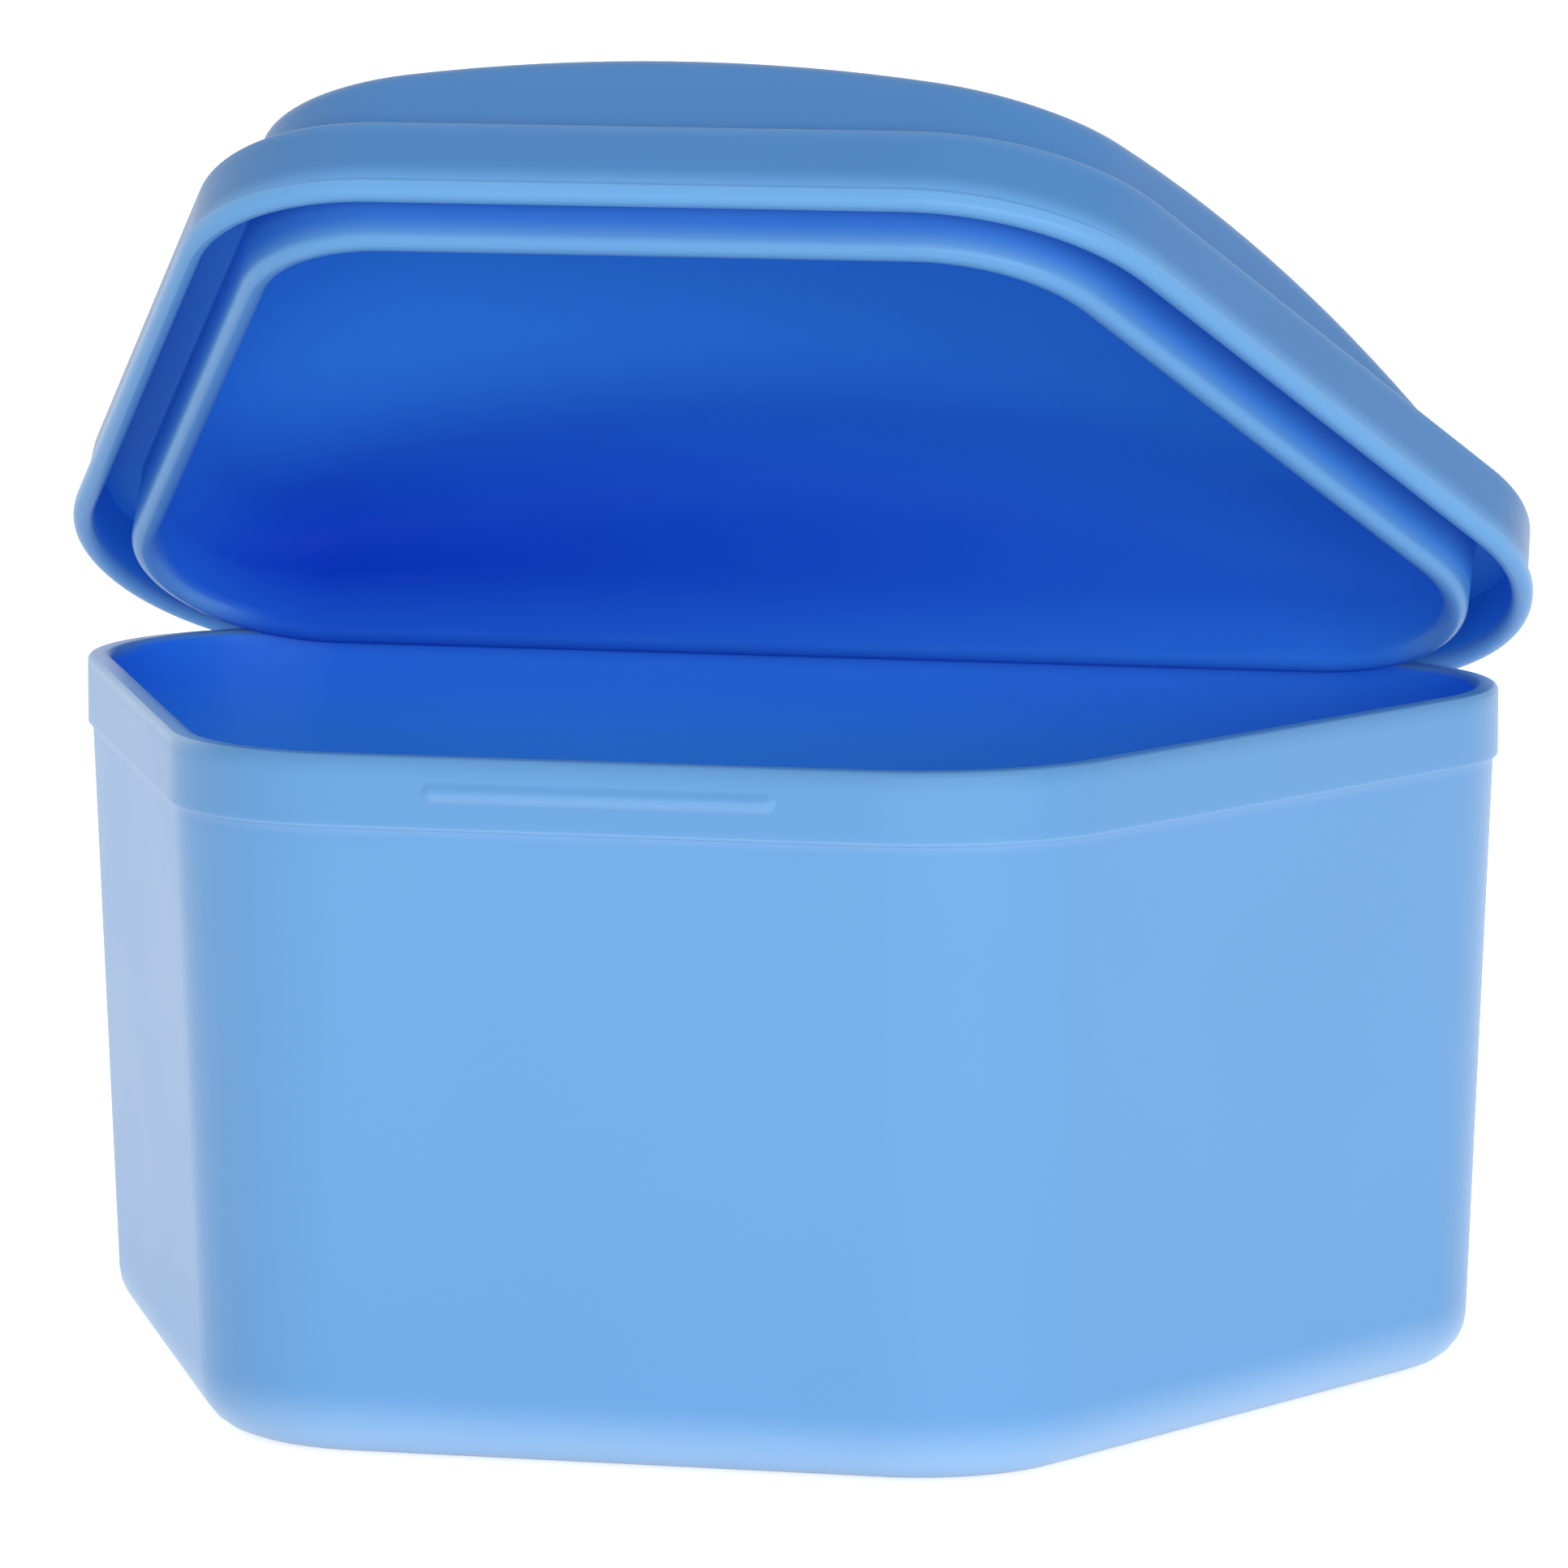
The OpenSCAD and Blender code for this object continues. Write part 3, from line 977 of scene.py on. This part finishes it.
class DENTURE_CASE_OT_lid(bpy.types.Operator):
    """Lid with its skirt, ledge, inner rib and domed crown"""

    bl_idname = "denture_case.lid"
    bl_label = "Lid"

    def execute(self, context):
        case = context.scene.denture_case
        tub, lid = case.tub, case.lid
        mouth = mouth_height(case)
        groove = tub.height + lid.rim_gap
        ledge = groove + lid.ledge
        skirt_out = lid.skirt_gap + lid.skirt
        lip_out = lid.skirt_gap + lid.lip
        rib_out = -tub.wall - lid.rib_gap
        rib_in = rib_out - lid.rib
        rib_z = mouth - lid.rib_drop
        foot_z = groove + lid.ledge / 2
        slope = math.tan(lid.dome_draft)
        ball_z = ledge + lid.dome_rise - lid.crown_radius

        def ball(radius):
            """Height of the crown of a radius over a spot in plan."""

            def height(x, y):
                flat = x * x + (y - lid.crown_back) ** 2
                return ball_z + math.sqrt(radius * radius - flat)

            return height

        def crown_edge(sample, start, radius, rounding, base):
            """Soft corner where a leaning wall meets the crown, from the wall inwards.

            At the back corners, where the crown comes down to the base, it is smaller.
            """
            height = ball(radius)
            z = ledge + lid.dome_rise / 2
            for _round in range(BEND_ROUNDS):
                x, y, _z = place(sample, start - (z - foot_z) * slope, 0)
                z = height(x, y)
            offset = start - (z - foot_z) * slope
            rounding = min(rounding, BEND_SHARE * (z - base))
            low = place(sample, min(start, offset + rounding * slope), z - rounding)
            corner = place(sample, offset, z)
            x, y, _z = place(sample, offset - rounding, 0)
            return bend_between(low, corner, Vector((x, y, height(x, y))))

        lip_middle = lid.skirt_gap + lid.lip / 2
        inner = fine_path(
            [
                (rib_in, foot_z, 0),
                (rib_in, rib_z, lid.rib * FULL_ROUND),
                (rib_out, rib_z, lid.rib * FULL_ROUND),
                (rib_out, groove, lid.edge_round),
                (lid.skirt_gap, groove, lid.edge_round),
                (lid.skirt_gap, mouth, lid.lip * FULL_ROUND),
                (lip_middle, mouth, 0),
            ]
        )
        dome_foot = -lid.dome_inset - (ledge - foot_z) * slope
        outer = fine_path(
            [
                (lip_middle, mouth, 0),
                (lip_out, mouth, lid.lip * FULL_ROUND),
                (lip_out, mouth + lid.lip_height - lid.lip / 4, lid.edge_round),
                (skirt_out + lid.flare, mouth + lid.lip_height, lid.edge_round),
                (skirt_out, ledge, lid.ledge_round),
                (dome_foot, ledge, lid.edge_round),
                (dome_foot - DOME_START * slope, ledge + DOME_START, 0),
            ]
        )[1:]

        def darkness(point):
            """Painted shade inside the lid, which grows to the back."""
            return ramp(point.y - DARK_SLANT * point.x, *DARK_BACK)

        def painted_light_of(sample, column, under, over):
            """Painted light down a column: painted deep shade inside, and painted light
            at the end of rib and lip.
            """
            # Along the back the end of the rib lies in the shade
            shade = share_in(sample[1], BACK)
            # Painted light on the rib's end reaches less high at the back corners, and
            # the groove gets painted shade at the front
            pale = RIB_WALL[1] - CORNER_LOSS * share_in(sample[1], BACK_CORNERS)
            groove_dark = GROOVE_DARK * share_in(sample[1], GROOVE_FRONT)
            look_and_painted_light = [(1, 1, darkness(point), 0) for point in column[:under]]
            for (offset, z), point in zip(inner, column[under:]):
                # Painted light on the lip's inner face, painted deep shade in the
                # groove, and on the rib painted light at its end under painted deep
                # shade
                if offset > lid.skirt_gap - lid.edge_round:
                    look_and_painted_light.append((fade(z, mouth, LIP_INSIDE), 1, 0, 0))
                elif offset > rib_out - lid.edge_round:
                    deep = GROOVE_DEEP * fade(z, rib_z, GROOVE_WALL)
                    look_and_painted_light.append((deep, 1, groove_dark, 0))
                else:
                    deep = max(shade, fade(z, rib_z, (RIB_WALL[0], pale)))
                    less = RIB_LESS_DARK * ramp(z, foot_z, rib_z)
                    look_and_painted_light.append((deep, 1, darkness(point) * (1 - less), 0))
            # Painted highlight on the ledge's edge, painted glow at the foot of the
            # dome, and painted light on the lip
            for offset, z in outer:
                if offset > skirt_out - 2 * lid.ledge_round:
                    line = LEDGE_LINE * fade(z, ledge, LEDGE_EDGE)
                else:
                    line = DOME_LINE * fade(z, ledge, DOME_FOOT)
                look_and_painted_light.append((0, fade(z, mouth, LIP_TINT), 0, line))
            return look_and_painted_light + [PLAIN] * over

        inner_radius = lid.crown_radius - lid.crown
        middle = Vector((0, lid.crown_back))
        columns = []
        painted_masks = []
        for sample in outline(case.plan):
            ceiling = crown_edge(
                sample, rib_in, inner_radius, lid.ceiling_round, rib_z + RIB_ROOT
            )
            top = crown_edge(
                sample, -lid.dome_inset, lid.crown_radius, lid.crown_round, ledge
            )
            inside = rings_to_middle(ceiling[-1].to_2d(), middle, ball(inner_radius))
            outside = rings_to_middle(top[-1].to_2d(), middle, ball(lid.crown_radius))
            # Neither wall of the dome runs past the start of its rounding
            wall = []
            for offset, z in inner:
                deepest = ceiling[0].z if offset < rib_in + lid.rib / 2 else groove
                wall.append(place(sample, offset, min(z, deepest)))
            wall += [place(sample, offset, min(z, top[0].z)) for offset, z in outer]
            columns.append(inside[::-1] + ceiling[::-1] + wall + top + outside)
            under = len(inside) + len(ceiling)
            over = len(top) + len(outside)
            painted_masks.append(painted_light_of(sample, columns[-1], under, over))
        mesh = skin(
            columns,
            Vector((0, lid.crown_back, ball_z + inner_radius)),
            Vector((0, lid.crown_back, ball_z + lid.crown_radius)),
            painted_masks,
        )
        add_lid_piece("lid_shell", mesh, case)
        return {"FINISHED"}


class DENTURE_CASE_OT_lid_knuckle(bpy.types.Operator):
    """Long knuckle on a web behind the skirt of the lid"""

    bl_idname = "denture_case.lid_knuckle"
    bl_label = "Lid knuckle"

    def execute(self, context):
        case = context.scene.denture_case
        hinge, lid = case.hinge, case.lid
        axis = hinge_axis(case)
        web = case.plan.depth / 2 + lid.skirt_gap + lid.skirt - SINK
        top = axis.y + hinge.knuckle * math.sin(LID_KNUCKLE_ARC[0])
        contour = [Vector((web, top))]
        contour += circle_path(axis, hinge.knuckle, *LID_KNUCKLE_ARC)
        contour.append(Vector((web, mouth_height(case) + lid.lip / 2)))
        hole = circle_path(axis, hinge.pin + hinge.play)
        half = hinge.lid_knuckle / 2
        mesh = slab_between("knuckle", contour, hole, -half, half, hinge.edge_round)
        add_lid_piece("lid_knuckle", mesh, case)
        return {"FINISHED"}


class DENTURE_CASE_OT_hinge_pin(bpy.types.Operator):
    """Pin with rounded ends"""

    bl_idname = "denture_case.hinge_pin"
    bl_label = "Hinge pin"

    def execute(self, context):
        case = context.scene.denture_case
        hinge = case.hinge
        axis = hinge_axis(case)
        half = hinge.lid_knuckle / 2 + hinge.gap + hinge.tub_knuckle - hinge.inset
        end = round_path(
            [
                (half - PIN_END, hinge.pin, 0),
                (half, hinge.pin, hinge.pin * PIN_ROUND),
                (half, hinge.pin * PIN_FLAT, 0),
            ]
        )
        rows = [(-x, radius) for x, radius in reversed(end)]
        rows += [(x, radius) for x, radius in end]
        columns = []
        for step in range(ROUND_STEPS):
            out = heading(2 * math.pi * step / ROUND_STEPS)
            spots = [(x, axis + radius * out) for x, radius in rows]
            columns.append([Vector((x, spot.x, spot.y)) for x, spot in spots])
        mesh = skin(columns, Vector((-half, *axis)), Vector((half, *axis)))
        materials = pin_plastic(case)
        add_piece("hinge_rod", mesh, "tub_body", "hinge_pin", materials)
        return {"FINISHED"}


def seen_rays(tree):
    """1 for the rays that show the background: from the camera, mirrors and glass."""
    rays = node(tree, "ShaderNodeLightPath").outputs
    seen = maths(tree, "MAXIMUM", rays["Is Camera Ray"], rays["Is Glossy Ray"])
    return maths(tree, "MAXIMUM", seen, rays["Is Transmission Ray"])


class DENTURE_CASE_OT_stage(bpy.types.Operator):
    """Pale floor, soft light and camera"""

    bl_idname = "denture_case.stage"
    bl_label = "Stage"

    def execute(self, context):
        stage = context.scene.denture_case.stage
        self.add_floor(stage)
        self.add_surround(context.scene, stage)
        self.add_light(context.scene)
        self.add_camera(context.scene, stage)
        context.scene.view_settings.view_transform = "Standard"
        return {"FINISHED"}

    def add_floor(self, stage):
        mesh = bpy.data.meshes.new("floor")
        half = FLOOR_HALF
        mesh.from_pydata(
            [(-half, -half, 0), (half, -half, 0), (half, half, 0), (-half, half, 0)],
            [],
            [(0, 1, 2, 3)],
        )
        floor = bpy.data.objects.new("floor", mesh)
        floor.location.z = -FLOOR_DROP
        bpy.context.scene.collection.objects.link(floor)
        material = bpy.data.materials.new("pale floor")
        material.use_nodes = True
        tree = material.node_tree
        shader = tree.nodes["Principled BSDF"]
        shader.inputs["Base Color"].default_value = (*stage.floor_colour, 1)
        shader.inputs["Roughness"].default_value = FLOOR_ROUGHNESS
        shader.inputs["Specular IOR Level"].default_value = 0
        # What the camera sees of the floor is lifted to white, and the shadow stays
        lift = node(tree, "ShaderNodeEmission")
        lift.inputs["Color"].default_value = (1, 1, 1, 1)
        lift.inputs["Strength"].default_value = stage.lift
        dark = node(tree, "ShaderNodeEmission")
        dark.inputs["Strength"].default_value = 0
        choose = node(tree, "ShaderNodeMixShader")
        both = node(tree, "ShaderNodeAddShader")
        tree.links.new(seen_rays(tree), choose.inputs[0])
        tree.links.new(dark.outputs[0], choose.inputs[1])
        tree.links.new(lift.outputs[0], choose.inputs[2])
        tree.links.new(shader.outputs[0], both.inputs[0])
        tree.links.new(choose.outputs[0], both.inputs[1])
        tree.links.new(both.outputs[0], tree.nodes["Material Output"].inputs["Surface"])
        material.cycles.emission_sampling = "NONE"
        mesh.materials.append(material)

    def add_surround(self, scene, stage):
        world = bpy.data.worlds.new("surround")
        world.use_nodes = True
        tree = world.node_tree
        background = tree.nodes["Background"]
        background.inputs["Color"].default_value = (1, 1, 1, 1)
        # What is seen of the room, and mirrored, is white
        missing = maths(tree, "MULTIPLY", seen_rays(tree), 1 - stage.surround)
        level = maths(tree, "ADD", stage.surround, missing)
        tree.links.new(level, background.inputs["Strength"])
        world.cycles.sampling_method = "NONE"
        scene.world = world

    def add_light(self, scene):
        lamp = bpy.data.lights.new("front light", "AREA")
        lamp.shape = "RECTANGLE"
        lamp.size, lamp.size_y = LAMP_SIZE
        lamp.energy = LAMP_POWER
        holder = bpy.data.objects.new("front light", lamp)
        holder.location = LAMP_PLACE
        aim = Vector(LAMP_TARGET) - Vector(LAMP_PLACE)
        holder.rotation_euler = aim.to_track_quat("-Z", "Y").to_euler()
        scene.collection.objects.link(holder)

    def add_camera(self, scene, stage):
        lens = bpy.data.cameras.new("camera")
        lens.lens = stage.lens
        lens.sensor_width = SENSOR_WIDTH
        lens.clip_end = SIGHT
        camera = bpy.data.objects.new("camera", lens)
        camera.location = CAMERA_PLACE
        camera.rotation_euler = (math.pi / 2 - CAMERA_DOWN, 0, CAMERA_TURN)
        scene.collection.objects.link(camera)
        scene.camera = camera


PIECES = (
    DENTURE_CASE_OT_tub,
    DENTURE_CASE_OT_latch_bead,
    DENTURE_CASE_OT_tub_brackets,
    DENTURE_CASE_OT_lid,
    DENTURE_CASE_OT_lid_knuckle,
    DENTURE_CASE_OT_hinge_pin,
    DENTURE_CASE_OT_stage,
)


class DENTURE_CASE_PT_pieces(bpy.types.Panel):
    """Buttons for the pieces of the case"""

    bl_idname = "DENTURE_CASE_PT_pieces"
    bl_label = "Denture Case"
    bl_space_type = "VIEW_3D"
    bl_region_type = "UI"
    bl_category = "Denture Case"

    def draw(self, context):
        case = context.scene.denture_case
        column = self.layout.column(align=True)
        for piece in PIECES:
            column.operator(piece.bl_idname)
        for part in ("plan", "tub", "lid", "hinge", "look_and_painted_light", "stage"):
            box = self.layout.box()
            box.label(text=part.capitalize())
            sizes = getattr(case, part)
            for name in sizes.__annotations__:
                box.prop(sizes, name)


CLASSES = (
    CasePlanSizes,
    CaseTubSizes,
    CaseLidSizes,
    CaseHingeSizes,
    CaseFinish,
    CaseStage,
    CaseSettings,
    *PIECES,
    DENTURE_CASE_PT_pieces,
)


def register():
    for kind in CLASSES:
        bpy.utils.register_class(kind)
    bpy.types.Scene.denture_case = PointerProperty(type=CaseSettings)


def unregister():
    del bpy.types.Scene.denture_case
    for kind in reversed(CLASSES):
        bpy.utils.unregister_class(kind)


def main():
    """Builds the pieces and the stage."""
    register()
    bpy.ops.denture_case.tub()
    bpy.ops.denture_case.latch_bead()
    bpy.ops.denture_case.tub_brackets()
    bpy.ops.denture_case.lid()
    bpy.ops.denture_case.lid_knuckle()
    bpy.ops.denture_case.hinge_pin()
    bpy.ops.denture_case.stage()
    bpy.context.view_layer.update()


if __name__ == "__main__":
    main()
